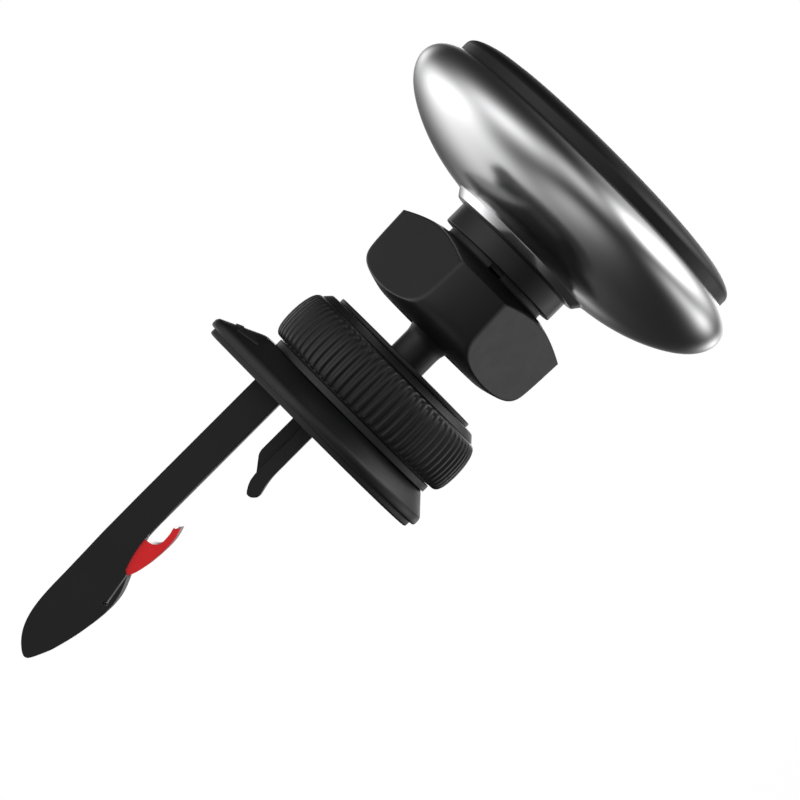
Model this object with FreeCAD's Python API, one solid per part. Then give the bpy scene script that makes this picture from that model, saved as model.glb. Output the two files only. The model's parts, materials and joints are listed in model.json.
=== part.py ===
"""Car phone mount: a clip that hooks over one vent slat, a ball joint, and a magnetic disc for the phone.

All sizes are in millimetres. The origin is the point where the mount's axis meets the vent side of the gasket.
+Y points into the vent, -Y towards the driver and the phone, and +Z is up. The mount's axis is the Y axis, and
most pieces are turned about it, so their outlines are lists of (y, radius) points.
"""

import FreeCAD, Part

import math
import os

# Driving dimensions -----------------------------------------------------------------------------------------

# base plate, gasket and foot
gasket_thick = 1.0
gasket_inset = 0.8
plate_edge_y = -2.4
plate_front_y = -5.6
plate_radius = 18.2
plate_top_z = 24.4
plate_corner_radius = 4.5
plate_top_half = 5.0
front_radius = 15.2
front_top_z = 17.5
front_corner_radius = 4.2
foot_back_y = -3.5
tongue_half = 5.0
tongue_bottom_z = 1.9
tongue_top_z = 4.1
foot_rib_half = 3.6
foot_rib_top_z = 5.95

# the column inside the knob, and its screws
glide_ring_thick = 1.15
glide_ring_radius = 15.6
column_radius = 13.2
column_bore = 3.08
flange_radius = 5.5
flange_y = -13.35
pocket_gap = 0.1
screw_circle = 9.5
screw_radius = 1.0
screw_hole = 1.1
screw_head_radius = 1.9
screw_head_y = -2.6

# knob
knob_pitch = 2.5
knob_back_y = -6.85
knob_front_y = -15.3
thread_root_radius = 14.65
thread_crest_radius = 13.3
thread_low_y = -14.45
thread_top_y = -7.9
thread_turns = 2.7
core_radius = 15.4
rib_count = 75
rib_groove_width = 0.55
rib_groove_depth = 0.35
rib_end_y = -15.2

# hook arm: its section, and the steel strip that carries the red hook
arm_half_width = 5.5
arm_bottom_z = 8.9
arm_top_z = 14.0
arm_top_round = 1.2
arm_front_y = -9.3
arm_back_y = -0.35
arm_crown_radius = 14.35
groove_count = 3
groove_gap = 0.25
slide_gap = 0.15
tip_half_width = 5.2
strip_half_in_tip = 4.2
strip_half_in_arm = 5.35
strip_gap = 0.03

# ball joint
stem_radius = 3.23
ball_radius = 8.5
ball_y = -30.6
seat_gap = 0.08
neck_radius = 9.3
finger_radius = 9.75
finger_slot = 2.4
nut_radius = 17.2
nut_flat = 12.2
run_gap = 0.1

# head
collar_radius = 10.7
boss_inner = 8.0
boss_outer = 14.4
boss_back_y = -47.2
socket_foot_y = -43.3
tray_radius = 27.4
tray_back_y = -52.5
tray_front_y = -60.1
shell_rim_y = -56.5
pad_radius = 22.25
pad_seat_y = -59.0
adhesive_y = -59.1
magnet_inner = 22.3
magnet_outer = 26.1
magnet_front_y = -58.2
magnet_back_y = -55.7
magnet_count = 18
shield_back_y = -54.9
part_gap = 0.05
head_screw_circle = 11.8
head_screw_radius = 1.25
head_screw_top = 2.0
head_screw_seat_y = -57.5

PARTS = "parts"


# Helpers ----------------------------------------------------------------------------------------------------


def at(y, z, x=0.0):
    """The point at (y, z) of the plane x = 0, or beside it."""
    return FreeCAD.Vector(x, y, z)


def wire(start, *steps):
    """A closed wire in the plane x = 0. A step is a point, joined by a line; a pair (middle, end), joined by an
    arc; or a longer list of points, joined by a smooth curve."""
    edges = []
    here = at(*start)
    for step in steps:
        if not isinstance(step[0], tuple):
            end = at(*step)
            edges.append(Part.LineSegment(here, end).toShape())
        elif len(step) == 2:
            end = at(*step[1])
            edges.append(Part.Arc(here, at(*step[0]), end).toShape())
        else:
            points = [here] + [at(*p) for p in step]
            end = points[-1]
            curve = Part.BSplineCurve()
            curve.interpolate(points)
            edges.append(curve.toShape())
        here = end
    if here.distanceToPoint(at(*start)) > 1e-6:
        edges.append(Part.LineSegment(here, at(*start)).toShape())
    return Part.Wire(edges)


def turned(start, *steps):
    """A solid turned about the mount's axis from an outline of (y, radius) points."""
    face = Part.Face(wire(start, *steps))
    return face.revolve(at(0, 0), at(1, 0), 360)


def drum(y0, y1, radius):
    """A plain cylinder on the mount's axis between two stations."""
    return Part.makeCylinder(radius, abs(y1 - y0), at(min(y0, y1), 0), at(1, 0))


def ring(y0, y1, inner, outer):
    """A plain ring on the mount's axis between two stations."""
    return drum(y0, y1, outer).cut(drum(y0, y1, inner))


def rod(y0, y1, radius, x, z):
    """A cylinder parallel to the mount's axis at (x, z)."""
    return Part.makeCylinder(radius, abs(y1 - y0), at(min(y0, y1), z, x), at(1, 0))


def block(x0, x1, y0, y1, z0, z1):
    """A box between two corners."""
    return Part.makeBox(x1 - x0, y1 - y0, z1 - z0, at(y0, z0, x0))


def slab(half_width, start, *steps):
    """A solid of constant width across X from an outline of (y, z) points."""
    face = Part.Face(wire(start, *steps))
    face.translate(FreeCAD.Vector(-half_width, 0, 0))
    return face.extrude(FreeCAD.Vector(2 * half_width, 0, 0))


def fused(shapes):
    """One solid made of several that touch or overlap."""
    whole = shapes[0].multiFuse(shapes[1:]) if len(shapes) > 1 else shapes[0]
    return whole.removeSplitter()


def cut_all(shape, tools):
    """The shape with every tool taken away."""
    for tool in tools:
        shape = shape.cut(tool)
    return shape


def rounded(shape, radius, chosen):
    """The shape with its chosen edges rounded."""
    return shape.makeFillet(radius, [e for e in shape.Edges if chosen(e)])


def spots(count, radius, first_angle):
    """Points (x, z) evenly spaced on a circle about the mount's axis."""
    angles = [math.radians(first_angle + 360.0 * i / count) for i in range(count)]
    return [(radius * math.cos(a), radius * math.sin(a)) for a in angles]


def save(node, shape):
    """Write one node, after testing that it is made of sound solids."""
    assert shape.isValid() and shape.Solids, node
    body = shape if len(shape.Solids) > 1 else shape.Solids[0]
    body.exportStep(f"{PARTS}/{node}.step")
    print(f"{node}: {len(shape.Solids)} solid(s), {shape.Volume:.1f} mm3")


# Clip -------------------------------------------------------------------------------------------------------


def shield(y, radius, corner, top_z):
    """The base plate's outline at a station: a circle with a blunt, round-cornered top."""
    corner_z = top_z - corner
    reach = math.hypot(plate_top_half, corner_z)
    lean = math.atan2(corner_z, plate_top_half) - math.acos((radius - corner) / reach)

    def on(cx, cz, size, angle):
        return at(y, cz + size * math.sin(angle), cx + size * math.cos(angle))

    flat = math.pi - lean
    up = math.pi / 2
    right_low = on(0, 0, radius, lean)
    right_high = on(plate_top_half, corner_z, corner, lean)
    right_top = on(plate_top_half, corner_z, corner, up)
    left_top = on(-plate_top_half, corner_z, corner, up)
    left_high = on(-plate_top_half, corner_z, corner, flat)
    left_low = on(0, 0, radius, flat)
    right_mid = on(plate_top_half, corner_z, corner, (lean + up) / 2)
    left_mid = on(-plate_top_half, corner_z, corner, (flat + up) / 2)
    return Part.Wire(
        [
            Part.LineSegment(right_low, right_high).toShape(),
            Part.Arc(right_high, right_mid, right_top).toShape(),
            Part.LineSegment(right_top, left_top).toShape(),
            Part.Arc(left_top, left_mid, left_high).toShape(),
            Part.LineSegment(left_high, left_low).toShape(),
            Part.Arc(left_low, on(0, 0, radius, -up), right_low).toShape(),
        ]
    )


def plate_outline(y, inset=0.0):
    """The plate's full outline at a station, or the same outline drawn in by an inset."""
    return shield(
        y, plate_radius - inset, plate_corner_radius - inset, plate_top_z - inset
    )


def arm_window(y0, y1, gap):
    """The hole that the hook arm slides through."""
    half = arm_half_width + gap
    hole = block(-half, half, y0, y1, arm_bottom_z - gap, arm_top_z + gap)

    def top_edge(edge):
        middle = edge.BoundBox.Center
        return edge.BoundBox.YLength > 0.9 * (y1 - y0) and middle.z > arm_top_z

    return rounded(hole, arm_top_round + gap, top_edge)


def support_foot():
    """A tongue with a turned-down end, and a narrower rib on top."""
    tongue = slab(
        tongue_half,
        (foot_back_y, tongue_bottom_z),
        (9.3, tongue_bottom_z),
        ((11.0, 1.68), (12.3, 1.2)),
        ((13.0, 1.75), (13.2, 2.75)),
        ((11.9, 3.75), (9.6, tongue_top_z)),
        (foot_back_y, tongue_top_z),
    )
    low = tongue_top_z - 0.1
    rib = slab(
        foot_rib_half,
        (foot_back_y, low),
        (9.9, low),
        (7.7, 5.75),
        (7.2, foot_rib_top_z),
        (foot_back_y, foot_rib_top_z),
    )
    return fused([tongue, rib])


def screw_spots():
    return spots(3, screw_circle, -90.0)


def base_plate():
    band = Part.Face(plate_outline(-gasket_thick))
    band = band.extrude(at(plate_edge_y + gasket_thick, 0))
    front = shield(plate_front_y, front_radius, front_corner_radius, front_top_z)
    bevel = Part.makeLoft([plate_outline(plate_edge_y), front], True, True)
    holes = [arm_window(plate_front_y - 1, 1, slide_gap), support_foot()]
    for x, z in screw_spots():
        holes.append(rod(-gasket_thick, screw_head_y, screw_head_radius + 0.1, x, z))
        holes.append(rod(-gasket_thick, plate_front_y, screw_hole, x, z))
    return cut_all(band.fuse(bevel), holes)


def vent_gasket():
    sheet = Part.Face(plate_outline(0, gasket_inset)).extrude(at(-gasket_thick, 0))
    sheet = rounded(sheet, 0.3, lambda e: e.BoundBox.YMin > -0.1)
    half = tongue_half + slide_gap
    low = tongue_bottom_z - slide_gap
    foot_hole = block(-half, half, -2, 1, low, foot_rib_top_z + slide_gap)
    return cut_all(sheet, [arm_window(-2, 1, 2 * slide_gap), foot_hole])


def glide_ring():
    inner = column_radius + part_gap
    front_y = plate_front_y - glide_ring_thick
    band = ring(front_y, plate_front_y, inner, glide_ring_radius)
    return band.cut(arm_window(plate_front_y - 2, plate_front_y + 1, slide_gap))


def guide_column():
    body = drum(knob_front_y, plate_front_y, column_radius)
    half = arm_half_width + slide_gap
    channel = block(-half, half, knob_front_y - 1, 0, arm_bottom_z - slide_gap, 20)
    holes = [
        channel,
        drum(-6.5, knob_front_y, column_bore),
        drum(flange_y + pocket_gap, knob_front_y, flange_radius + pocket_gap),
    ]
    for x, z in screw_spots():
        holes.append(rod(knob_front_y, plate_front_y, screw_hole, x, z))
    return cut_all(body, holes)


def front_cap():
    bore = stem_radius + 0.07
    body = turned(
        (knob_front_y, bore),
        (knob_front_y, 12.4),
        (-17.0, 12.4),
        (-17.0, 13.35),
        (-17.55, 13.35),
        (-17.7, 13.2),
        (-17.7, bore + 0.2),
        (-17.5, bore),
    )
    pilots = [rod(knob_front_y, -17.0, screw_radius, x, z) for x, z in screw_spots()]
    return cut_all(body, pilots)


def clip_screws():
    screws = []
    for x, z in screw_spots():
        head = rod(-1.2, screw_head_y, screw_head_radius, x, z)
        shank = rod(screw_head_y, -16.8, screw_radius, x, z)
        screws.append(cut_all(fused([head, shank]), cross_recess(x, z, -2.0, -1.0)))
    return Part.makeCompound(screws)


def cross_recess(x, z, y0, y1):
    """The two cuts of a cross-head screw's recess."""
    flat = block(x - 1.1, x + 1.1, y0, y1, z - 0.25, z + 0.25)
    upright = block(x - 0.25, x + 0.25, y0, y1, z - 1.1, z + 1.1)
    return [flat, upright]


# Thumbwheel -------------------------------------------------------------------------------------------------


def thread():
    """A right-hand helical ridge about the mount's axis, whose turns cross the top of the knob at
    thread_top_y and every pitch from there."""
    root = thread_root_radius + 0.15
    root_half = 0.75
    crest_half = 0.35
    helix = Part.makeHelix(knob_pitch, thread_turns * knob_pitch, root)
    corners = [
        FreeCAD.Vector(root, 0, -root_half),
        FreeCAD.Vector(thread_crest_radius, 0, -crest_half),
        FreeCAD.Vector(thread_crest_radius, 0, crest_half),
        FreeCAD.Vector(root, 0, root_half),
    ]
    section = Part.makePolygon(corners + corners[:1])
    ridge = Part.Wire(helix.Edges).makePipeShell([section], True, True)
    start_angle = 270.0 - 360.0 * (thread_top_y - thread_low_y) / knob_pitch
    ridge.rotate(FreeCAD.Vector(), FreeCAD.Vector(0, 0, 1), start_angle)
    ridge.rotate(FreeCAD.Vector(), FreeCAD.Vector(1, 0, 0), -90)
    ridge.translate(at(thread_low_y, 0))
    return ridge


def knob_core():
    wall = ring(knob_front_y, knob_back_y, thread_root_radius, core_radius)
    return wall.fuse(thread())


def grip_outline(depth, inner):
    """The rubber grip's crowned outline, lowered by a depth, closed at an inner radius."""
    d = depth
    return (
        (-6.95, inner),
        (-6.95, 15.9 - d),
        ((-7.4, 16.85 - d), (-8.6, 17.33 - d)),
        ((-11.0, 17.5 - d), (-13.6, 17.2 - d)),
        ((-15.0, 16.7 - d), (-15.75, 15.85 - d)),
        (-15.75, inner),
    )


def knob_grip():
    barrel = turned(*grip_outline(0, core_radius + part_gap))
    half = rib_groove_width / 2
    bottom = grip_outline(rib_groove_depth, 20.0)
    blade = slab(half, *bottom)
    blade = blade.common(block(-half, half, rib_end_y, -6.0, 0, 19))
    blades = []
    for i in range(rib_count):
        copy = blade.copy()
        copy.rotate(at(0, 0), at(1, 0), 360.0 * i / rib_count)
        blades.append(copy)
    return barrel.cut(Part.makeCompound(blades))


def knob_ring():
    return turned(
        (knob_front_y, thread_root_radius),
        (knob_front_y, core_radius),
        (-15.8, core_radius),
        (-15.8, 15.72),
        (-16.85, 14.75),
        (-16.95, 14.5),
        (-16.95, 12.5),
        (-15.95, 12.5),
        (-15.95, thread_root_radius),
    )


# Hook -------------------------------------------------------------------------------------------------------


def hook_arm():
    blade = slab(
        arm_half_width,
        (arm_back_y, arm_bottom_z),
        (26.5, arm_bottom_z),
        ((31.0, 8.6), (34.3, 7.5)),
        (34.3, 6.75),
        ((37.2, 5.45), (40.5, 5.3)),
        ((47.3, 6.25), (53.2, 8.55)),
        ((53.6, 9.0), (53.45, 9.55)),
        ((51.3, 11.95), (47.6, 13.4)),
        ((37.0, 13.85), (24.0, arm_top_z)),
        (arm_back_y, arm_top_z),
    )

    def top_edge(edge):
        box = edge.BoundBox
        on_side = box.XLength < 0.01 and abs(abs(box.XMin) - arm_half_width) < 0.01
        return on_side and box.YMin > -0.4 and box.YLength > 1 and box.ZMin > 9

    blade = rounded(blade, arm_top_round, top_edge)
    half = arm_half_width
    body = block(-half, half, arm_front_y, arm_back_y, arm_bottom_z, arm_top_z)
    body = body.common(drum(arm_front_y, arm_back_y, arm_crown_radius))
    grooves = [arm_groove(thread_top_y + i * knob_pitch) for i in range(groove_count)]
    arm = cut_all(body, grooves).fuse(blade).removeSplitter()
    return arm.cut(strip_in_arm(half + 1, strip_gap))


def arm_groove(y):
    """One groove for the knob's thread: a ring about the axis, leaned to the thread's helix angle, which it
    follows within 0.02 mm over the arm's width."""
    crest = thread_crest_radius - groove_gap
    root = thread_root_radius + groove_gap
    groove = turned((y - 1.0, root), (y - 0.55, crest), (y + 0.55, crest), (y + 1.0, root))
    middle = (crest + root) / 2
    lean = math.degrees(math.atan(knob_pitch / (2 * math.pi * middle)))
    groove.rotate(at(y, 0), FreeCAD.Vector(0, 0, 1), lean)
    return groove


def hook_tip():
    """The red hook: a short finger below the arm, open towards the plate, and a pad under the arm's curve."""
    red = slab(
        tip_half_width,
        (34.25, 6.8),
        ((30.5, 5.72), (26.2, 5.6)),
        ((24.8, 5.8), (23.7, 6.2)),
        ((23.75, 6.7), (24.3, 6.95)),
        ((26.0, 6.65), (27.4, 6.6)),
        ((28.35, 7.3), (28.6, 8.86)),
        ((31.4, 8.4), (34.25, 7.5)),
    )
    return red.cut(strip_in_tip(strip_gap))


def strip_in_arm(half_width, gap):
    """The end of the steel strip that lies in the slot under the arm's paddle, or that slot."""
    g = gap
    return slab(
        half_width,
        (34.2 - g, 6.75 - g),
        (39.2 + g, 5.9 - g),
        (39.2 + g, 6.35 + g),
        (34.2 - g, 7.2 + g),
    )


def strip_in_tip(gap):
    """The narrower end of the steel strip that the red hook is moulded round, or its slot."""
    g = gap
    return slab(
        strip_half_in_tip + g,
        (34.3, 6.73 - g),
        (34.2, 6.75 - g),
        ((30.0, 6.3 - g), (25.2 - g, 6.05 - g)),
        (25.2 - g, 6.4 + g),
        ((30.0, 6.75 + g), (34.2, 7.2 + g)),
        (34.3, 7.18 + g),
    )


def hook_spine():
    return fused([strip_in_arm(strip_half_in_arm, 0.0), strip_in_tip(0.0)])


# Ball joint -------------------------------------------------------------------------------------------------


def on_ball(radius, degrees):
    """The outline point of a sphere on the ball's centre, by its angle from the phone side of the axis."""
    a = math.radians(degrees)
    return (ball_y - radius * math.cos(a), radius * math.sin(a))


def ball_stud():
    neck = math.degrees(math.asin(stem_radius / ball_radius))
    return turned(
        (-6.7, 0),
        (-6.7, 2.7),
        (-7.0, 3.0),
        (flange_y, 3.0),
        (flange_y, flange_radius),
        (knob_front_y + pocket_gap, flange_radius),
        (knob_front_y + pocket_gap, stem_radius),
        on_ball(ball_radius, 180 - neck),
        (on_ball(ball_radius, 85), on_ball(ball_radius, 0)),
    )


def ball_cushion():
    cup = ball_radius + run_gap
    return turned(
        (-40.8, 0),
        (-40.8, 6.5),
        (-40.4, 6.9),
        (-36.4, 6.9),
        on_ball(cup, 47.5),
        (on_ball(cup, 24), on_ball(cup, 0)),
    )


def ball_socket():
    seat = ball_radius + seat_gap
    lip_angle = 180 - math.degrees(math.acos(5.5 / seat))
    pocket_angle = math.degrees(math.asin(7.0 / seat))
    body = turned(
        on_ball(seat, lip_angle),
        (-25.1, 8.0),
        (-27.2, finger_radius),
        (-35.2, finger_radius),
        (-36.2, neck_radius),
        (socket_foot_y, neck_radius),
        (socket_foot_y, boss_outer),
        (boss_back_y, boss_outer),
        (boss_back_y, 0),
        (-40.9, 0),
        (-40.9, 7.0),
        on_ball(seat, pocket_angle),
        (on_ball(seat, 90), on_ball(seat, lip_angle)),
    )
    half = finger_slot / 2
    slots = [
        block(-12, 12, -36.9, -24, -half, half),
        block(-half, half, -36.9, -24, -12, 12),
    ]
    for x, z in head_screw_spots():
        slots.append(rod(boss_back_y, -44.0, head_screw_radius, x, z))
    return cut_all(body, slots)


def ball_nut():
    bore = finger_radius + run_gap
    body = turned(
        (-22.5, 8.2),
        (-22.5, 9.8),
        [(-23.45, 13.15), (-24.2, 14.8), (-25.1, 15.85), (-26.45, nut_radius - 0.55)],
        (-33.7, nut_radius),
        (-35.45, 12.0),
        (-35.9, 10.3),
        (-35.9, bore + 0.2),
        (-35.6, bore),
        (-27.2, bore),
        (-24.9, 7.95),
        (-24.7, 7.1),
    )
    for angle in (240.0, 0.0, 120.0):
        flat = block(nut_flat, 30, -40, -20, -20, 20)
        flat.rotate(at(0, 0), at(1, 0), angle)
        body = body.cut(flat)
    return body


# Head -------------------------------------------------------------------------------------------------------


def rear_collar():
    return turned(
        (-37.0, neck_radius + part_gap),
        (-37.0, collar_radius - 0.2),
        (-37.15, collar_radius),
        (-41.1, collar_radius),
        (-41.1, neck_radius + part_gap),
    )


def head_shell():
    return turned(
        (socket_foot_y, neck_radius + part_gap),
        (-41.15, neck_radius + part_gap),
        (-41.15, collar_radius + part_gap),
        (-40.7, collar_radius + part_gap),
        (-40.7, 11.95),
        (-42.0, 12.9),
        (-42.05, 13.2),
        [
            (-42.9, 18.5),
            (-44.8, 23.7),
            (-47.8, 28.6),
            (-51.9, 31.15),
            (-54.9, 30.0),
            (shell_rim_y, 27.6),
        ],
        (shell_rim_y, tray_radius + part_gap),
        (-55.5, tray_radius + part_gap),
        [(-54.0, 29.0), (-51.6, 29.9), (-48.7, 27.8), (-46.0, 23.4), (socket_foot_y, 14.6)],
    )


def magnet_tray():
    wall = magnet_outer + 0.1
    body = turned(
        (tray_back_y, wall),
        (tray_back_y, tray_radius),
        (-58.0, tray_radius),
        ((-59.2, 26.0), (tray_front_y, 22.6)),
        (tray_front_y, pad_radius + part_gap),
        (pad_seat_y, pad_radius + part_gap),
        (pad_seat_y, 0),
        (magnet_front_y, 0),
        (magnet_front_y, boss_inner),
        (boss_back_y, boss_inner),
        (boss_back_y, boss_outer),
        (magnet_front_y, boss_outer),
        (magnet_front_y, 21.1),
        (-55.0, 21.1),
        (-55.0, magnet_inner),
        (magnet_front_y, magnet_inner),
        (magnet_front_y, wall),
    )
    holes = []
    for x, z in head_screw_spots():
        holes.append(rod(boss_back_y, pad_seat_y, head_screw_radius + 0.1, x, z))
        holes.append(rod(head_screw_seat_y, pad_seat_y, head_screw_top + 0.1, x, z))
    return cut_all(body, holes)


def head_screw_spots():
    return spots(4, head_screw_circle, 45)


def head_screws():
    screws = []
    for x, z in head_screw_spots():
        head = rod(head_screw_seat_y, -58.9, head_screw_top, x, z)
        shank = rod(head_screw_seat_y, -44.2, head_screw_radius, x, z)
        recess = cross_recess(x, z, pad_seat_y, magnet_front_y)
        screws.append(cut_all(fused([head, shank]), recess))
    return Part.makeCompound(screws)


def ring_magnets():
    """A ring of arc magnets with a small gap between neighbours."""
    band = ring(magnet_front_y, magnet_back_y, magnet_inner + part_gap, magnet_outer)
    half_gap = 0.175
    cutters = []
    for i in range(magnet_count):
        bar = block(-half_gap, half_gap, -60, -50, 20, 30)
        bar.rotate(at(0, 0), at(1, 0), 360.0 * i / magnet_count)
        cutters.append(bar)
    return band.cut(Part.makeCompound(cutters))


def shield_plate():
    return ring(magnet_back_y, shield_back_y, magnet_inner + part_gap, magnet_outer)


def pad_adhesive():
    return drum(pad_seat_y, adhesive_y, pad_radius - 0.5)


def face_pad():
    front_y = tray_front_y - 0.15
    return turned(
        (adhesive_y, 0),
        (adhesive_y, pad_radius),
        (tray_front_y - 0.05, pad_radius),
        (front_y, pad_radius - 0.15),
        (front_y, 0),
    )


NODES = [
    base_plate,
    vent_gasket,
    support_foot,
    glide_ring,
    guide_column,
    front_cap,
    clip_screws,
    knob_core,
    knob_grip,
    knob_ring,
    hook_arm,
    hook_tip,
    hook_spine,
    ball_stud,
    ball_cushion,
    ball_socket,
    ball_nut,
    rear_collar,
    head_shell,
    magnet_tray,
    head_screws,
    ring_magnets,
    shield_plate,
    pad_adhesive,
    face_pad,
]

os.makedirs(PARTS, exist_ok=True)
for make in NODES:
    save(make.__name__, make())
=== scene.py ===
import json
import math

import bmesh
import bpy
from mathutils import Matrix, Vector


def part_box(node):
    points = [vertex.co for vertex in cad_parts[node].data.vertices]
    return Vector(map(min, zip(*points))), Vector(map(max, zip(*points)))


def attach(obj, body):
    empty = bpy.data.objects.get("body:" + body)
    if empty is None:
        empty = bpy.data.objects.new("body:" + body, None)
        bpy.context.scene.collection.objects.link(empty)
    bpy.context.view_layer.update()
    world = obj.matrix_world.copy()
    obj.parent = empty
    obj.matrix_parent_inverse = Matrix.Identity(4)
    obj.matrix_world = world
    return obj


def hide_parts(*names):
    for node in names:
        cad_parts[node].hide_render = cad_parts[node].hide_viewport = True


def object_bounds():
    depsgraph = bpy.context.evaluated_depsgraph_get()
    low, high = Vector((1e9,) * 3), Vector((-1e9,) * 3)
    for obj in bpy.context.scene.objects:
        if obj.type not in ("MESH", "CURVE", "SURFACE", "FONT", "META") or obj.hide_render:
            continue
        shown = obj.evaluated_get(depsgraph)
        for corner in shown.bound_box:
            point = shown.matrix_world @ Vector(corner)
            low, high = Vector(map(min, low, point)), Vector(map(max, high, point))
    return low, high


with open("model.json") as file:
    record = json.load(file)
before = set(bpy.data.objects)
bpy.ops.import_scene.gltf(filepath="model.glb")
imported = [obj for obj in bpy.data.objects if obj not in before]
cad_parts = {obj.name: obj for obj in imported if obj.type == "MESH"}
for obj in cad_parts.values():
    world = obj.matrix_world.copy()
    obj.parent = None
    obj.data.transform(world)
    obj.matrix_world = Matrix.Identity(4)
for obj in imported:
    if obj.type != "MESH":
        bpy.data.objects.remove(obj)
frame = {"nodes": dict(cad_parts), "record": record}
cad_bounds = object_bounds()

# The looks of the phone mount, around its CAD frame. Outlines are in millimetres, as (y, radius) points about
# the mount's axis or as (y, z) points of a side view. Most are then fitted to the box of the CAD node they
# stand for.

MM = 0.001
TOP = math.radians(90)
SHARP_DEGREES = 38
MOST_CORNERS_SMOOTHED = 12
ARM_GAP = 0.15 * MM
THREAD_PITCH = 2.5
RECORD = frame["record"]
SLOT_OF = {part["node"]: part["material_slot"] for part in RECORD["subparts"]}
BODY_OF = {node: body for body, nodes in RECORD["behaviour"]["bodies"].items() for node in nodes}
BOX = {node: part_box(node) for node in frame["nodes"]}


# Outlines ------------------------------------------------------------------------------------------------


def eased(points, closed=True, steps=5):
    """The outline with its corners rounded. A point (u, v, size) becomes a bend that starts size before the
    corner and ends size after it; a point (u, v) stays sharp."""
    out = []
    count = len(points)
    largest_share = 0.49
    for i, point in enumerate(points):
        here = Vector(point[:2])
        at_end = not closed and i in (0, count - 1)
        if len(point) == 2 or at_end:
            out.append(here)
            continue
        before = Vector(points[i - 1][:2]) - here
        after = Vector(points[(i + 1) % count][:2]) - here
        size = min(point[2], largest_share * before.length, largest_share * after.length)
        a = here + before.normalized() * size
        b = here + after.normalized() * size
        for k in range(steps + 1):
            s = k / steps
            out.append(a * (1 - s) ** 2 + here * 2 * s * (1 - s) + b * s**2)
    return out


def flowing(points, rounds=3):
    """A smooth line (a cubic B-spline) led by the points, from the first to the last."""
    line = [Vector(p) for p in points]
    for _ in range(rounds):
        finer = [line[0]]
        for a, b, c in zip(line, line[1:], line[2:]):
            finer += [(a + b) / 2, (a + 6 * b + c) / 8]
        finer += [(line[-2] + line[-1]) / 2, line[-1]]
        line = finer
    return line


def fitted(outline, node, from_axis):
    """The outline in metres, filling the node's box in y, and either out to its radius or over its height."""
    low, high = BOX[node]
    us = [p[0] for p in outline]
    vs = [p[1] for p in outline]
    stretch_u = (high.y - low.y) / (max(us) - min(us))
    base_v = 0.0 if from_axis else min(vs)
    floor_v = 0.0 if from_axis else low.z
    stretch_v = (high.z - floor_v) / (max(vs) - base_v)
    out = []
    for u, v in outline:
        out.append(Vector((low.y + (u - min(us)) * stretch_u, floor_v + (v - base_v) * stretch_v)))
    return out


def in_metres(points):
    """The points, given in millimetres, in metres."""
    return [Vector(p) * MM for p in points]


# Meshes --------------------------------------------------------------------------------------------------


def shade(mesh, sharp_degrees):
    """Smooth shading except over sharp edges and on the large flat faces, which have many corners."""
    mesh.shade_smooth()
    mesh.set_sharp_from_angle(angle=math.radians(sharp_degrees))
    for face in mesh.polygons:
        face.use_smooth = len(face.vertices) <= MOST_CORNERS_SMOOTHED


def around(angle, radius, y):
    """The point at an angle and a radius about the mount's axis."""
    return Vector((radius * math.cos(angle), y, radius * math.sin(angle)))


def joined_rings(bm, rings, closed=False):
    """Quads from each ring of vertices to the next, and from the last to the first if closed."""
    pairs = list(zip(rings, rings[1:]))
    if closed:
        pairs.append((rings[-1], rings[0]))
    for a, b in pairs:
        for k in range(len(a)):
            n = (k + 1) % len(a)
            bm.faces.new((a[k], a[n], b[n], b[k]))


def piece_from(bm, name, sharp_degrees=SHARP_DEGREES):
    """A piece from an edited mesh, closed up, facing outwards and smooth except at its sharp edges."""
    bmesh.ops.remove_doubles(bm, verts=bm.verts, dist=1e-7)
    bmesh.ops.dissolve_degenerate(bm, edges=bm.edges, dist=1e-8)
    bmesh.ops.recalc_face_normals(bm, faces=bm.faces)
    mesh = bpy.data.meshes.new(name)
    bm.to_mesh(mesh)
    bm.free()
    shade(mesh, sharp_degrees)
    piece = bpy.data.objects.new(name, mesh)
    bpy.context.scene.collection.objects.link(piece)
    weighted = piece.modifiers.new("even_normals", "WEIGHTED_NORMAL")
    weighted.keep_sharp = True
    return piece


def turned_mesh(outline, closed=True, turns=256, radius_at=None):
    """An edited mesh turned about the mount's axis from (y, radius) points in metres. radius_at(y, radius,
    angle) may change the radius round the axis."""
    bm = bmesh.new()
    rings = []
    for y, radius in outline:
        ring = []
        for k in range(turns):
            angle = math.tau * k / turns
            r = radius_at(y, radius, angle) if radius_at else radius
            ring.append(bm.verts.new(around(angle, r, y)))
        rings.append(ring)
    joined_rings(bm, rings, closed)
    return bm


def turned_piece(node, outline, closed=True, turns=256, radius_at=None):
    """A turned piece that stands for a CAD node."""
    line = fitted(outline, node, from_axis=True)
    return stand_for(piece_from(turned_mesh(line, closed, turns, radius_at), node + "_form"), node)


def prism_mesh(outline, half_width, edge=0.0, steps=4):
    """An edited mesh of one width across X from (y, z) points in metres, its two rims rounded by edge."""
    bm = bmesh.new()
    sides = []
    for x in (-half_width, half_width):
        sides.append([bm.verts.new((x, y, z)) for y, z in outline])
    left, right = sides
    bm.faces.new(left)
    bm.faces.new(right)
    count = len(outline)
    for i in range(count):
        n = (i + 1) % count
        bm.faces.new((left[i], left[n], right[n], right[i]))
    if edge:
        rims = [e for e in bm.edges if abs(e.verts[0].co.x - e.verts[1].co.x) < 1e-9]
        bmesh.ops.bevel(
            bm, geom=rims, offset=edge, segments=steps, profile=0.5, affect="EDGES", clamp_overlap=True
        )
    return bm


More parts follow.
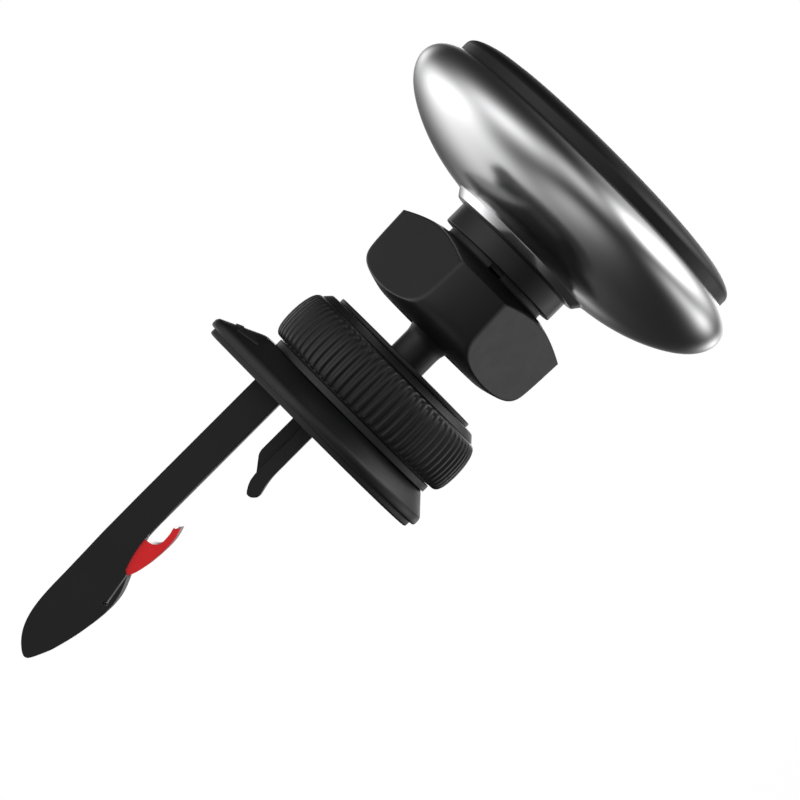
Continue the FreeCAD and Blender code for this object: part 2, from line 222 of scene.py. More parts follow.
def box_mesh(low, high, edge, steps=4):
    """An edited mesh of a box whose edges along Y are rounded."""
    bm = bmesh.new()
    bmesh.ops.create_cube(bm, size=1.0)
    middle = (Vector(low) + Vector(high)) / 2
    size = Vector(high) - Vector(low)
    place = Matrix.Translation(middle) @ Matrix.Diagonal(size).to_4x4()
    bmesh.ops.transform(bm, matrix=place, verts=bm.verts)
    along = [e for e in bm.edges if abs(e.verts[0].co.y - e.verts[1].co.y) > 1e-6]
    bmesh.ops.bevel(bm, geom=along, offset=edge, segments=steps, profile=0.5, affect="EDGES")
    return bm


def combined(piece, other_bm, operation):
    """The piece after a boolean with another mesh, which is used up."""
    other = piece_from(other_bm, piece.name + "_tool")
    tool = piece.modifiers.new("tool", "BOOLEAN")
    tool.operation = operation
    tool.solver = "EXACT"
    tool.object = other
    piece.modifiers.move(len(piece.modifiers) - 1, 0)
    graph = bpy.context.evaluated_depsgraph_get()
    piece.modifiers["even_normals"].show_viewport = False
    graph.update()
    mesh = bpy.data.meshes.new_from_object(piece.evaluated_get(graph))
    old = piece.data
    piece.data = mesh
    bpy.data.meshes.remove(old)
    piece.modifiers.remove(tool)
    piece.modifiers["even_normals"].show_viewport = True
    bpy.data.objects.remove(other)
    shade(mesh, SHARP_DEGREES)
    return piece


def stand_for(piece, node):
    """The piece takes a CAD node's place, body, finish and material."""
    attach(piece, BODY_OF[node])
    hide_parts(node)
    piece.data.materials.clear()
    piece.data.materials.append(MATERIALS[SLOT_OF[node]])
    return piece


# Materials -----------------------------------------------------------------------------------------------


def new_material(name, colour, roughness, metallic=0.0, specular=0.5):
    """A material with its even values set on the shader, and the nodes to build on."""
    material = bpy.data.materials.new(name)
    material.use_nodes = True
    tree = material.node_tree
    shader = tree.nodes["Principled BSDF"]
    shader.inputs["Base Color"].default_value = (*colour, 1.0)
    shader.inputs["Roughness"].default_value = roughness
    shader.inputs["Metallic"].default_value = metallic
    shader.inputs["Specular IOR Level"].default_value = specular
    return material, tree, shader


def noise(tree, scale, detail=3.0, stretch=(1.0, 1.0, 1.0)):
    """Noise over the object's own coordinates, in features per metre."""
    place = tree.nodes.new("ShaderNodeTexCoord")
    mapping = tree.nodes.new("ShaderNodeMapping")
    mapping.inputs["Scale"].default_value = stretch
    texture = tree.nodes.new("ShaderNodeTexNoise")
    texture.inputs["Scale"].default_value = scale
    texture.inputs["Detail"].default_value = detail
    tree.links.new(place.outputs["Object"], mapping.inputs["Vector"])
    tree.links.new(mapping.outputs["Vector"], texture.inputs["Vector"])
    return texture.outputs["Fac"]


def spread(tree, value, low, high, start=0.3, end=0.7):
    """A value between low and high, as the input goes from start to end."""
    node = tree.nodes.new("ShaderNodeMapRange")
    node.inputs["From Min"].default_value = start
    node.inputs["From Max"].default_value = end
    node.inputs["To Min"].default_value = low
    node.inputs["To Max"].default_value = high
    tree.links.new(value, node.inputs["Value"])
    return node.outputs["Result"]


def tinted(tree, value, dark, light):
    """A colour between two, by a value from 0 to 1."""
    node = tree.nodes.new("ShaderNodeMix")
    node.data_type = "RGBA"
    node.inputs["A"].default_value = (*dark, 1.0)
    node.inputs["B"].default_value = (*light, 1.0)
    tree.links.new(value, node.inputs["Factor"])
    return node.outputs["Result"]


def bumped(tree, shader, height, distance, strength):
    """Fine relief from a height."""
    node = tree.nodes.new("ShaderNodeBump")
    node.inputs["Strength"].default_value = strength
    node.inputs["Distance"].default_value = distance
    tree.links.new(height, node.inputs["Height"])
    tree.links.new(node.outputs["Normal"], shader.inputs["Normal"])


def moulded(name, dark, light, roughness, grain, relief, specular=0.5):
    """Moulded plastic or rubber: a fine texture, with slow changes of colour and gloss over it."""
    material, tree, shader = new_material(name, dark, roughness, specular=specular)
    slow = noise(tree, 90.0, 4.0)
    tree.links.new(tinted(tree, spread(tree, slow, 0.0, 1.0), dark, light), shader.inputs["Base Color"])
    gloss = noise(tree, 420.0, 2.0)
    tree.links.new(spread(tree, gloss, roughness - 0.015, roughness + 0.02), shader.inputs["Roughness"])
    bumped(tree, shader, noise(tree, grain, 2.0), relief, 0.35)
    return material


def satin_chrome():
    """Plated metal with a silky finish, cloudy by a hair."""
    material, tree, shader = new_material("satin_chrome", (0.86, 0.86, 0.87), 0.2, metallic=1.0)
    cloud = noise(tree, 60.0, 3.0)
    tree.links.new(spread(tree, cloud, 0.185, 0.225), shader.inputs["Roughness"])
    bumped(tree, shader, noise(tree, 2600.0, 1.0), 0.00001, 0.03)
    return material


def glossy_red():
    """Red silicone: smooth, slightly deeper in colour where it is thick."""
    material, tree, shader = new_material("glossy_red", (0.8, 0.008, 0.012), 0.34)
    shader.inputs["Subsurface Weight"].default_value = 0.08
    shader.inputs["Subsurface Radius"].default_value = (0.0012, 0.0003, 0.0003)
    shader.inputs["Subsurface Scale"].default_value = 1.0
    shader.inputs["Coat Weight"].default_value = 0.1
    shader.inputs["Coat Roughness"].default_value = 0.12
    slow = noise(tree, 160.0, 3.0)
    tree.links.new(
        tinted(tree, spread(tree, slow, 0.0, 1.0), (0.74, 0.006, 0.010), (0.86, 0.010, 0.014)),
        shader.inputs["Base Color"],
    )
    tree.links.new(spread(tree, noise(tree, 500.0), 0.2, 0.27), shader.inputs["Roughness"])
    bumped(tree, shader, noise(tree, 3000.0, 1.0), 0.00001, 0.1)
    return material


def brushed(name, colour, roughness, stretch):
    """Bare or plated metal with fine lines along one direction."""
    material, tree, shader = new_material(name, colour, roughness, metallic=1.0)
    lines = noise(tree, 1800.0, 3.0, stretch)
    tree.links.new(spread(tree, lines, roughness - 0.06, roughness + 0.08), shader.inputs["Roughness"])
    deeper = tuple(c * 0.82 for c in colour)
    slow = spread(tree, noise(tree, 260.0), 0.0, 1.0)
    tree.links.new(tinted(tree, slow, deeper, colour), shader.inputs["Base Color"])
    bumped(tree, shader, lines, 0.00001, 0.2)
    return material


# Dark colour, light colour, roughness, grain in features per metre, and relief in metres.
MOULDED = {
    "black_plastic": ((0.0108, 0.0108, 0.0112), (0.0128, 0.0128, 0.0132), 0.4, 5200.0, 0.00002),
    "inner_plastic": ((0.018, 0.018, 0.019), (0.024, 0.024, 0.025), 0.45, 5200.0, 0.00002),
    "grip_rubber": ((0.0112, 0.0112, 0.0116), (0.0136, 0.0136, 0.014), 0.36, 4200.0, 0.00002),
    "gasket_rubber": ((0.012, 0.012, 0.0125), (0.017, 0.017, 0.0175), 0.52, 3600.0, 0.00003),
    "cushion": ((0.09, 0.09, 0.1), (0.12, 0.12, 0.13), 0.5, 3600.0, 0.00002),
    "adhesive": ((0.72, 0.7, 0.64), (0.78, 0.76, 0.71), 0.55, 2600.0, 0.00003),
    "black_metal": ((0.012, 0.012, 0.0125), (0.016, 0.016, 0.0165), 0.34, 6000.0, 0.00001),
}
MATERIALS = {slot: moulded(slot, *look) for slot, look in MOULDED.items()}
MATERIALS["red_silicone"] = glossy_red()
MATERIALS["chrome"] = satin_chrome()
MATERIALS["steel"] = brushed("zinc_steel", (0.62, 0.62, 0.64), 0.3, (1.0, 0.08, 1.0))
MATERIALS["magnet"] = brushed("nickel", (0.7, 0.69, 0.66), 0.22, (1.0, 1.0, 0.3))


# Head ----------------------------------------------------------------------------------------------------


def head_shell():
    """The domed metal shell, with a small bright lip round the collar."""
    lip = eased(
        [
            (-43.3, 9.35),
            (-41.15, 9.35),
            (-41.15, 10.75),
            (-40.7, 10.75, 0.1),
            (-40.7, 11.95, 0.25),
            (-42.0, 12.9, 0.12),
            (-42.15, 12.95, 0.1),
            (-42.05, 13.4),
        ],
        closed=False,
    )
    dome = flowing(
        [
            (-42.1, 13.6),
            (-42.5, 16.6),
            (-43.6, 20.9),
            (-45.6, 25.6),
            (-48.4, 29.7),
            (-51.9, 31.6),
            (-54.9, 30.6),
            (-56.35, 28.2),
            (-56.5, 27.45),
        ]
    )
    inside = flowing(
        [
            (-55.5, 27.45),
            (-54.6, 28.9),
            (-52.0, 30.1),
            (-48.6, 28.3),
            (-45.6, 23.6),
            (-43.3, 14.6),
        ]
    )
    return turned_piece("head_shell", lip + dome + inside, turns=360)


def magnet_tray():
    """The black tray in the shell's mouth: only its rounded front stands out."""
    front = flowing(
        [
            (-57.9, 27.4),
            (-58.5, 27.25),
            (-59.2, 26.4),
            (-59.9, 24.4),
            (-60.1, 23.0),
            (-60.1, 22.4),
        ],
        2,
    )
    walls = eased(
        [
            (-60.1, 22.3),
            (-59.0, 22.3),
            (-59.0, 0.0),
            (-58.2, 0.0),
            (-58.2, 8.0),
            (-47.2, 8.0),
            (-47.2, 14.4),
            (-58.2, 14.4),
            (-58.2, 21.1),
            (-55.0, 21.1),
            (-55.0, 22.3),
            (-58.2, 22.3),
            (-58.2, 26.2),
            (-52.5, 26.2),
            (-52.5, 27.4),
        ],
        closed=False,
    )
    return turned_piece("magnet_tray", front + walls)


def face_pad():
    """The soft disc that the phone sits on, with a soft edge and a shallow moulded ring."""
    outline = eased(
        [
            (-59.1, 0.0),
            (-59.1, 22.25),
            (-60.25, 22.25, 0.3),
            (-60.25, 20.3, 0.1),
            (-60.13, 20.15, 0.1),
            (-60.13, 19.85, 0.1),
            (-60.25, 19.7, 0.1),
            (-60.25, 0.0),
        ],
        closed=False,
    )
    return turned_piece("face_pad", outline, closed=False)


def rear_collar():
    """The black collar between the socket and the shell, with a fine bead at its shell end."""
    outline = eased(
        [
            (-37.0, 9.35),
            (-37.0, 10.7, 0.28),
            (-40.45, 10.7, 0.1),
            (-40.5, 10.55, 0.05),
            (-40.62, 10.55, 0.05),
            (-40.67, 10.7, 0.1),
            (-41.1, 10.7, 0.1),
            (-41.1, 9.35),
        ]
    )
    return turned_piece("rear_collar", outline)


# Ball joint ----------------------------------------------------------------------------------------------


def ball_nut():
    """The clamping nut: a turned body with three wide flats, all its edges soft."""
    flat = 12.2 * MM
    softness = 0.55 * MM
    longest_side = 0.45 * MM
    shoulder = flowing(
        [
            (-22.5, 9.6),
            (-22.6, 10.7),
            (-23.3, 13.3),
            (-24.1, 15.25),
            (-25.3, 16.4),
            (-26.9, 16.75),
            (-29.5, 16.95),
        ],
        2,
    )
    front = eased(
        [
            (-33.7, 17.2, 0.5),
            (-35.45, 12.0, 0.4),
            (-35.9, 10.3, 0.3),
            (-35.9, 10.05, 0.1),
            (-35.6, 9.85),
        ],
        closed=False,
    )
    bore = eased(
        [
            (-35.6, 9.85),
            (-27.2, 9.85),
            (-24.9, 7.95),
            (-24.7, 7.1, 0.1),
            (-22.5, 8.2, 0.3),
            (-22.5, 9.2),
        ],
        closed=False,
    )

    def flattened(_, radius, angle):
        off = angle % (math.tau / 3)
        off = min(off, math.tau / 3 - off)
        plane = flat / math.cos(off)
        near = max(softness - abs(plane - radius), 0.0) / softness
        return min(plane, radius) - near * near * softness / 4

    line = densified(in_metres(shoulder + front + bore), longest_side)
    bm = turned_mesh(line, turns=720, radius_at=flattened)
    return stand_for(piece_from(bm, "ball_nut_form", 50), "ball_nut")


def densified(line, step):
    """The closed line with points added, so that none of its sides is longer than the step."""
    out = []
    for a, b in zip(line, line[1:] + line[:1]):
        pieces = max(1, math.ceil((b - a).length / step))
        out += [a.lerp(b, k / pieces) for k in range(pieces)]
    return out


def ball_stud():
    """The stem with its ball, and the flange that holds it in the clip."""
    ball = 8.5
    centre = -30.6
    neck_radius = 3.75
    neck = math.asin(neck_radius / ball)
    steps = 40
    sweep = [math.pi - neck - (math.pi - neck) * k / steps for k in range(steps + 1)]
    sphere = [(centre - ball * math.cos(a), ball * math.sin(a)) for a in sweep]
    stem = eased(
        [
            (-6.7, 0.0),
            (-6.7, 2.7),
            (-7.0, 3.0),
            (-13.35, 3.0),
            (-13.35, 5.5),
            (-15.2, 5.5),
            (-15.2, 3.23, 0.1),
            (-21.6, 3.23, 1.2),
            sphere[0],
        ],
        closed=False,
    )
    return turned_piece("ball_stud", stem + [Vector(p) for p in sphere[1:]], closed=False, turns=128)


# Thumbwheel and front cap --------------------------------------------------------------------------------


def knob_grip():
    """The ribbed rubber grip. The ribs fade out at its ends and stop above its inside wall."""
    ribs = 75
    turns_per_rib = 12
    depth = 0.36 * MM
    front, back = -15.55 * MM, -6.95 * MM
    wall = 15.7 * MM
    crown = flowing(
        [
            (-6.95, 15.95),
            (-6.97, 16.4),
            (-7.25, 16.85),
            (-8.0, 17.25),
            (-9.4, 17.48),
            (-11.3, 17.52),
            (-13.1, 17.36),
            (-14.5, 17.02),
            (-15.4, 16.55),
            (-15.75, 15.95),
            (-15.75, 15.6),
        ]
    )
    line = in_metres(crown + [Vector((-15.75, 15.4)), Vector((-6.95, 15.4))])

    def ribbed(y, radius, angle):
        groove = min(max(0.5 + 1.4 * math.cos(ribs * angle), 0.0), 1.0)
        ends = min((y - front) / (0.7 * MM), (back - y) / (0.25 * MM), 1.0)
        reach = min(1.0, (radius - wall) / (0.5 * MM))
        return radius - depth * groove * max(0.0, ends) * max(0.0, reach)

    bm = turned_mesh(line, turns=ribs * turns_per_rib, radius_at=ribbed)
    return stand_for(piece_from(bm, "knob_grip_form", 60), "knob_grip")


def knob_ring():
    """The conical trim ring in front of the grip."""
    outline = eased(
        [
            (-15.3, 14.65),
            (-15.3, 15.4),
            (-15.8, 15.4),
            (-15.8, 15.72, 0.1),
            (-16.85, 14.75, 0.15),
            (-16.95, 14.4, 0.1),
            (-16.95, 12.5),
            (-15.95, 12.5),
            (-15.95, 14.65),
        ]
    )
    return turned_piece("knob_ring", outline)


def front_cap():
    """The stepped cap that holds the stud's flange."""
    outline = eased(
        [
            (-15.3, 3.3),
            (-15.3, 12.4),
            (-17.0, 12.4),
            (-17.0, 13.35, 0.08),
            (-17.7, 13.35, 0.22),
            (-17.7, 4.6, 0.3),
            (-17.55, 3.9, 0.2),
            (-17.55, 3.3, 0.1),
        ]
    )
    return turned_piece("front_cap", outline)


def glide_ring():
    """The ring between the plate and the knob, open where the arm passes."""
    outline = eased([(-5.6, 14.3), (-5.6, 15.6, 0.12), (-6.75, 15.6, 0.12), (-6.75, 14.3)])
    low, high = BOX["glide_ring"]
    ring = turned_piece("glide_ring", outline)
    return combined(ring, arm_window(low.y - MM, high.y + MM, ARM_GAP), "DIFFERENCE")


# Clip ----------------------------------------------------------------------------------------------------


def shield_radius(angle, big, corner, top):
    """How far the shield outline is from the axis at an angle: a circle below, joined by straight sides to a
    blunt top with round corners."""
    half_flat = 5.0 * MM
    centre = Vector((half_flat, top - corner))
    lean = math.atan2(centre.y, centre.x) - math.acos((big - corner) / centre.length)
    ray = Vector((abs(math.cos(angle)), math.sin(angle)))
    if math.atan2(ray.y, ray.x) <= lean:
        return big
    side_normal = Vector((math.cos(lean), math.sin(lean)))
    reach = big / ray.dot(side_normal)
    if ray.y > 0:
        reach = min(reach, top / ray.y)
    along = centre.dot(ray)
    gap = centre.length_squared - along * along
    if gap < corner * corner:
        round_reach = along + math.sqrt(corner * corner - gap)
        spot = math.atan2(round_reach * ray.y - centre.y, round_reach * ray.x - centre.x)
        if lean < spot < TOP:
            reach = min(reach, round_reach)
    return reach


def plate_radius(angle):
    """The base plate's widest outline."""
    high = BOX["base_plate"][1]
    corner = 4.5 * MM
    return shield_radius(angle, high.x, corner, high.z)


def plate_point(angle, share):
    """A point of the base plate's bevel, from its edge band (share 0) to its front rim (share 1)."""
    front_y = BOX["base_plate"][0].y
    bevel_depth = 3.2 * MM
    rim_radius, rim_corner, rim_top = 15.2 * MM, 4.2 * MM, 17.5 * MM
    outer = plate_radius(angle)
    front = shield_radius(angle, rim_radius, rim_corner, rim_top)
    radius = outer + (front - outer) * share
    start = front_y + bevel_depth
    return around(angle, radius, start + (front_y - start) * share)


def shield_mesh(rows, turns=360):
    """An edited mesh from rows, each a function that gives a point for an angle. Its two ends are filled."""
    bm = bmesh.new()
    rings = []
    for row in rows:
        rings.append([bm.verts.new(row(TOP + math.tau * k / turns)) for k in range(turns)])
    joined_rings(bm, rings)
    bm.faces.new(rings[0])
    bm.faces.new(rings[-1])
    return bm


def band(radius_at, inset, y):
    """A row for shield_mesh: the outline radius_at(angle), drawn in by inset, at one y."""
    return lambda angle: around(angle, radius_at(angle) - inset, y)


def arm_window(y0, y1, gap):
    """The hole that the hook arm slides through, round its section."""
    low, high = BOX["hook_arm"]
    bottom = 8.9 * MM
    corner_low = (low.x - gap, y0, bottom - gap)
    corner_high = (high.x + gap, y1, high.z + gap)
    return box_mesh(corner_low, corner_high, 0.4 * MM)


def foot_hole(y0, y1, gap):
    """The hole that the support foot sits in."""
    low, high = BOX["support_foot"]
    bottom = 1.9 * MM
    return box_mesh((low.x - gap, y0, bottom - gap), (high.x + gap, y1, high.z + gap), 0.3 * MM)


def base_plate():
    """The plate: an edge band, and a bevel that runs from the shield outline to the round front."""
    low, high = BOX["base_plate"]
    foot_gap = 0.02 * MM
    foot_start = low.y + 1.5 * MM

    def bevel(share, inset=0.0, y_shift=0.0):
        def point(angle):
            return plate_point(angle, share) - around(angle, inset, 0) + Vector((0, y_shift, 0))

        return point

    rows = [
        band(plate_radius, 0.5 * MM, high.y),
        band(plate_radius, 0.3 * MM, high.y - 0.03 * MM),
        band(plate_radius, 0.1 * MM, high.y - 0.14 * MM),
        band(plate_radius, 0.0, high.y - 0.4 * MM),
        band(plate_radius, 0.0, high.y - 1.05 * MM),
        bevel(0.04, 0.02 * MM),
        bevel(0.08),
        bevel(0.3),
        bevel(0.6),
        bevel(0.9),
        bevel(0.96, 0.03 * MM),
        bevel(1.0, 0.14 * MM, 0.02 * MM),
        bevel(1.0, 0.42 * MM),
        bevel(1.0, 1.0 * MM),
    ]
    plate = piece_from(shield_mesh(rows), "base_plate_form", 30)
    combined(plate, arm_window(low.y - MM, high.y + MM, ARM_GAP), "DIFFERENCE")
    combined(plate, foot_hole(foot_start, high.y + MM, foot_gap), "DIFFERENCE")
    return stand_for(plate, "base_plate")


def turn_arrow():
    """A plain raised arrow on the top of the bevel, which shows that the knob turns. Its middle and its
    half-widths are shares of the bevel, as in plate_point."""
    bm = bmesh.new()
    raised = Vector((0, -0.17 * MM, 0.09 * MM))
    sunk = raised * -0.3
    middle = 0.45
    shaft_half = 0.07
    head_half = 3 * shaft_half
    tail, neck, tip = math.radians(93), math.radians(112), math.radians(120)
    shaft_steps, head_steps = 24, 6
    bluntness = 0.05

    def strip(sections):
        """A closed bar from cross-sections, each an angle and the half-width there."""
        loops = []
        for angle, half in sections:
            low_side, high_side = plate_point(angle, middle - half), plate_point(angle, middle + half)
            corners = (low_side + sunk, high_side + sunk, high_side + raised, low_side + raised)
            loops.append([bm.verts.new(corner) for corner in corners])
        joined_rings(bm, loops)
        bm.faces.new(loops[0])
        bm.faces.new(loops[-1])

    shaft = [k / shaft_steps for k in range(shaft_steps + 1)]
    head = [k / head_steps for k in range(head_steps + 1)]
    strip([(tail + (neck - tail) * part, shaft_half) for part in shaft])
    strip([(neck + (tip - neck) * part, head_half * (1 - part / (1 + bluntness))) for part in head])
    piece = piece_from(bm, "turn_arrow", 30)
    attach(piece, BODY_OF["base_plate"])
    piece.data.materials.append(MATERIALS["gasket_rubber"])
    return piece


def vent_gasket():
    """The soft sheet behind the plate."""
    low, high = BOX["vent_gasket"]
    corner = 3.7 * MM
    arm_gap, foot_gap = 0.3 * MM, 0.15 * MM

    def sheet_radius(angle):
        return shield_radius(angle, high.x, corner, high.z)

    rows = [
        band(sheet_radius, 0.45 * MM, high.y),
        band(sheet_radius, 0.25 * MM, high.y - 0.03 * MM),
        band(sheet_radius, 0.08 * MM, high.y - 0.12 * MM),
        band(sheet_radius, 0.0, high.y - 0.32 * MM),
        band(sheet_radius, 0.0, low.y),
    ]
    gasket = piece_from(shield_mesh(rows), "vent_gasket_form", 30)
    combined(gasket, arm_window(low.y - MM, high.y + MM, arm_gap), "DIFFERENCE")
    combined(gasket, foot_hole(low.y - MM, high.y + MM, foot_gap), "DIFFERENCE")
    return stand_for(gasket, "vent_gasket")


def support_foot():
    """The tongue that rests on the slat, with a narrower rib on top."""
    half_width = BOX["support_foot"][1].x
    tongue_outline = eased(
        [
            (-3.5, 1.9),
            (9.3, 1.9, 1.4),
            (12.3, 1.2, 0.4),
            (13.05, 1.95, 0.3),
            (13.25, 2.8, 0.5),
            (11.6, 3.85, 0.9),
            (9.6, 4.1, 0.4),
            (-3.5, 4.1),
        ]
    )
    rib_outline = eased(
        [
            (-3.5, 3.0),
            (9.9, 3.0),
            (9.9, 4.05),
            (7.7, 5.75, 0.6),
            (7.0, 5.95, 0.4),
            (-3.5, 5.95),
        ]
    )
    rib_half_width = 3.6 * MM
    tongue = prism_mesh(in_metres(tongue_outline), half_width, 0.3 * MM)
    rib = prism_mesh(in_metres(rib_outline), rib_half_width, 0.25 * MM)
    foot = combined(piece_from(tongue, "support_foot_form"), rib, "UNION")
    return stand_for(foot, "support_foot")


# Hook ----------------------------------------------------------------------------------------------------


def hook_arm():
    """The long arm: a bar that ends in a curved paddle, with a seat for the red hook on its underside."""
    half_width = BOX["hook_arm"][1].x
    paddle = flowing(
        [
            (40.0, 13.72),
            (47.0, 13.65),
            (51.2, 12.3),
            (53.3, 10.2),
            (53.9, 9.0),
            (53.2, 8.3),
            (50.1, 7.0),
        ]
    )
    belly = flowing([(50.1, 7.0), (46.2, 5.9), (41.5, 5.22), (37.9, 5.3), (35.8, 6.1), (34.35, 6.75)])
    seat = flowing([(34.35, 7.45), (32.1, 8.25), (29.1, 8.85), (26.0, 8.9)])
    back = [Vector(p) for p in [(-9.3, 8.9), (-9.3, 14.0), (24.0, 14.0), (32.0, 13.95)]]
    outline = paddle + belly[1:] + seat + back
    bar = prism_mesh(fitted(outline, "hook_arm", from_axis=False), half_width, 0.45 * MM)
    arm = piece_from(bar, "hook_arm_form")
    slot = [(34.0, 6.7), (39.75, 5.72), (39.75, 6.42), (39.2, 6.42), (39.2, 6.15), (34.0, 7.02)]
    past_the_sides = 7 * MM
    combined(arm, prism_mesh(in_metres(slot), past_the_sides), "DIFFERENCE")
    crown = [(-10.0, 14.3), (-10.0, 20.0), (-0.35, 20.0), (-0.35, 14.3)]
    combined(arm, turned_mesh(in_metres(crown)), "DIFFERENCE")
    first_groove = -7.9
    for turn in range(3):
        combined(arm, thread_groove(first_groove + turn * THREAD_PITCH), "DIFFERENCE")
    return stand_for(arm, "hook_arm")


def thread_groove(y):
    """The space of one groove for the knob's thread, leaned to the thread's helix angle."""
    thread_radius = 13.8
    outline = [(y - 1.15, 15.5), (y - 0.57, 13.0), (y + 0.57, 13.0), (y + 1.15, 15.5)]
    groove = turned_mesh(in_metres(outline))
    middle = Vector((0, y * MM, 0))
    lean = Matrix.Rotation(math.atan(THREAD_PITCH / (math.tau * thread_radius)), 4, "Z")
    place = Matrix.Translation(middle) @ lean @ Matrix.Translation(-middle)
    bmesh.ops.transform(groove, matrix=place, verts=groove.verts)
    return groove


def hook_tip():
    """The red hook that catches the slat's far edge."""
    half_width = BOX["hook_tip"][1].x
    under = flowing([(34.25, 6.75), (32.6, 6.0), (29.5, 5.62), (26.6, 5.52), (24.9, 5.75), (23.7, 6.18)], 2)
    finger = eased([(23.7, 6.18), (24.3, 6.6, 0.1), (24.35, 6.95, 0.12), (25.2, 6.75)], closed=False, steps=3)
    mouth = flowing([(25.4, 6.7), (26.6, 6.58), (27.6, 6.66), (28.25, 7.2), (28.5, 8.0), (28.62, 8.84)], 2)
    top = flowing([(28.62, 8.84), (31.4, 8.42), (34.25, 7.45)], 2)
    outline = under + finger[1:] + mouth + top[1:]
    tip = prism_mesh(fitted(outline, "hook_tip", from_axis=False), half_width, 0.28 * MM)
    return stand_for(piece_from(tip, "hook_tip_form"), "hook_tip")


# Stage ---------------------------------------------------------------------------------------------------

VIEW_SIDE = Vector((0, -1, -1)).normalized()
VIEW_UP = Vector((0, -1, 1)).normalized()


def camera():
    """Side-on to the mount, rolled by 45 degrees so that it stands up towards the right."""
    distance = 0.6
    aim = Vector((0, -12.94 * MM, -3.45 * MM))
    data = bpy.data.cameras.new("camera")
    data.sensor_width = 36.0
    data.lens = 179.8
    data.clip_start = 0.01
    data.clip_end = 20.0
    eye = bpy.data.objects.new("camera", data)
    back = Vector((-1, 0, 0))
    turn = Matrix((VIEW_SIDE, VIEW_UP, back)).transposed()
    eye.matrix_world = Matrix.Translation(aim + back * distance) @ turn.to_4x4()
    bpy.context.scene.collection.objects.link(eye)
    bpy.context.scene.camera = eye


# Soft boxes painted on the studio's walls: the direction of each as (away from the first view, right of it,
# up in it), how far it reaches in each of these, and its brightness. DIM is the room's own light, and FILL
# the even light that matt surfaces get as well.
DIM = 0.02
SOFT_BOXES = [
    ((0.38, -0.92, 0.08), (0.42, 0.45, 0.34), 1.4),
    ((-0.5, -0.7, 0.45), (0.65, 0.6, 0.45), 1.1),
    ((0.3, -0.85, -0.4), (0.35, 0.3, 0.3), 0.5),
    ((0.68, -0.62, -0.3), (0.25, 0.25, 0.25), 0.45),
    ((-0.2, 1.02, 0.15), (0.65, 0.26, 0.38), 2.9),
    ((0.5, 0.8, 0.2), (0.35, 0.3, 0.4), 0.8),
    ((-0.9, 0.3, 0.3), (0.4, 0.45, 0.45), 0.5),
    ((0.05, 0.7, -0.68), (0.5, 0.3, 0.26), 0.65),
    ((-0.4, -0.6, -0.65), (0.5, 0.4, 0.25), 0.4),
    ((0.5, 0.65, -0.55), (0.26, 0.26, 0.24), 0.95),
    ((0.94, -0.22, -0.235), (0.08, 0.065, 0.065), 1.4),
    ((0.92, 0.28, 0.08), (0.13, 0.22, 0.2), 1.5),
    ((0.99, 0.09, 0.09), (0.06, 0.11, 0.11), 3.5),
    ((0.92, 0.28, -0.28), (0.1, 0.12, 0.12), 1.6),
    ((0.72, -0.68, 0.1), (0.25, 0.3, 0.26), 0.75),
    ((0.9, -0.3, 0.3), (0.12, 0.16, 0.16), 1.1),
]
FILL = 0.5


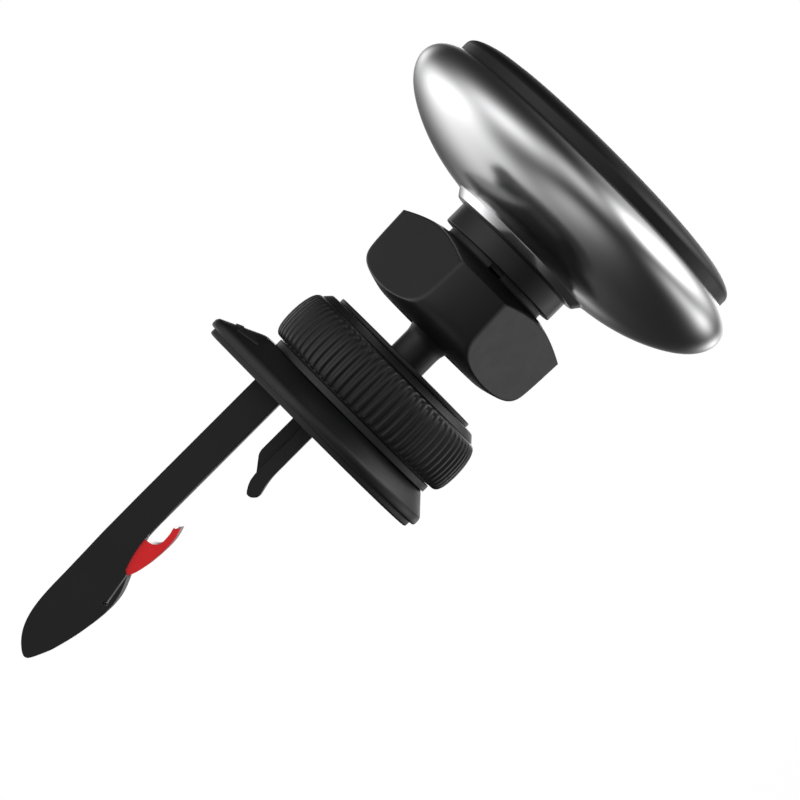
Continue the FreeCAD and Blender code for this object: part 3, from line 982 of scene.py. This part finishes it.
def studio():
    """The world: a white backdrop, and for the light a dim room with soft boxes."""
    scene = bpy.context.scene
    world = bpy.data.worlds.new("studio")
    scene.world = world
    world.use_nodes = True
    tree = world.node_tree
    tree.nodes.clear()
    links = tree.links

    def math_node(operation, *values):
        node = tree.nodes.new("ShaderNodeMath")
        node.operation = operation
        for socket, value in zip(node.inputs, values):
            if isinstance(value, (int, float)):
                socket.default_value = value
            else:
                links.new(value, socket)
        return node.outputs[0]

    def vector_node(operation, *values):
        node = tree.nodes.new("ShaderNodeVectorMath")
        node.operation = operation
        for socket, value in zip(node.inputs, values):
            if isinstance(value, (tuple, Vector)):
                socket.default_value = value
            else:
                links.new(value, socket)
        return node.outputs["Value"] if operation in ("DOT_PRODUCT", "LENGTH") else node.outputs["Vector"]

    place = tree.nodes.new("ShaderNodeTexCoord").outputs["Generated"]
    turned = tree.nodes.new("ShaderNodeCombineXYZ")
    for socket, axis in zip(turned.inputs, (Vector((1, 0, 0)), VIEW_SIDE, VIEW_UP)):
        links.new(vector_node("DOT_PRODUCT", place, axis), socket)
    light = DIM
    for centre, reach, brightness in SOFT_BOXES:
        offset = vector_node("SUBTRACT", turned.outputs[0], centre)
        scaled = vector_node("DIVIDE", offset, reach)
        fall = math_node("MULTIPLY", vector_node("DOT_PRODUCT", scaled, scaled), -1.0)
        glow = math_node("MULTIPLY", math_node("EXPONENT", fall), brightness)
        light = math_node("ADD", light, glow)
    path = tree.nodes.new("ShaderNodeLightPath")
    light = math_node("ADD", light, math_node("MULTIPLY", path.outputs["Is Diffuse Ray"], FILL))
    seen = tree.nodes.new("ShaderNodeBackground")
    seen.inputs["Color"].default_value = (1, 1, 1, 1)
    seen.inputs["Strength"].default_value = 1.0
    lit = tree.nodes.new("ShaderNodeBackground")
    lit.inputs["Color"].default_value = (1, 1, 1, 1)
    links.new(light, lit.inputs["Strength"])
    mix = tree.nodes.new("ShaderNodeMixShader")
    links.new(path.outputs["Is Camera Ray"], mix.inputs["Fac"])
    links.new(lit.outputs[0], mix.inputs[1])
    links.new(seen.outputs[0], mix.inputs[2])
    out = tree.nodes.new("ShaderNodeOutputWorld")
    links.new(mix.outputs[0], out.inputs["Surface"])
    scene.view_settings.view_transform = "Standard"


def floor():
    """A plain pale floor well below the mount."""
    drop = 0.09
    level = cad_bounds[0].z - drop
    half = 1.2
    corners = ((-half, -half), (half, -half), (half, half), (-half, half))
    bm = bmesh.new()
    bm.faces.new([bm.verts.new((x, y, level)) for x, y in corners])
    mesh = bpy.data.meshes.new("floor")
    bm.to_mesh(mesh)
    bm.free()
    ground = bpy.data.objects.new("floor", mesh)
    bpy.context.scene.collection.objects.link(ground)
    material, _, _ = new_material("pale_floor", (0.82, 0.82, 0.82), 0.7)
    mesh.materials.append(material)
    ground.is_shadow_catcher = True
    ground.visible_glossy = False
    ground.visible_diffuse = False


# The scene ----------------------------------------------------------------------------------------------

camera()
studio()
floor()
for node, piece in frame["nodes"].items():
    piece.data.materials.clear()
    piece.data.materials.append(MATERIALS[SLOT_OF[node]])
for make in (
    head_shell,
    magnet_tray,
    face_pad,
    rear_collar,
    ball_nut,
    ball_stud,
    knob_grip,
    knob_ring,
    front_cap,
    glide_ring,
    base_plate,
    turn_arrow,
    vent_gasket,
    support_foot,
    hook_arm,
    hook_tip,
):
    make()
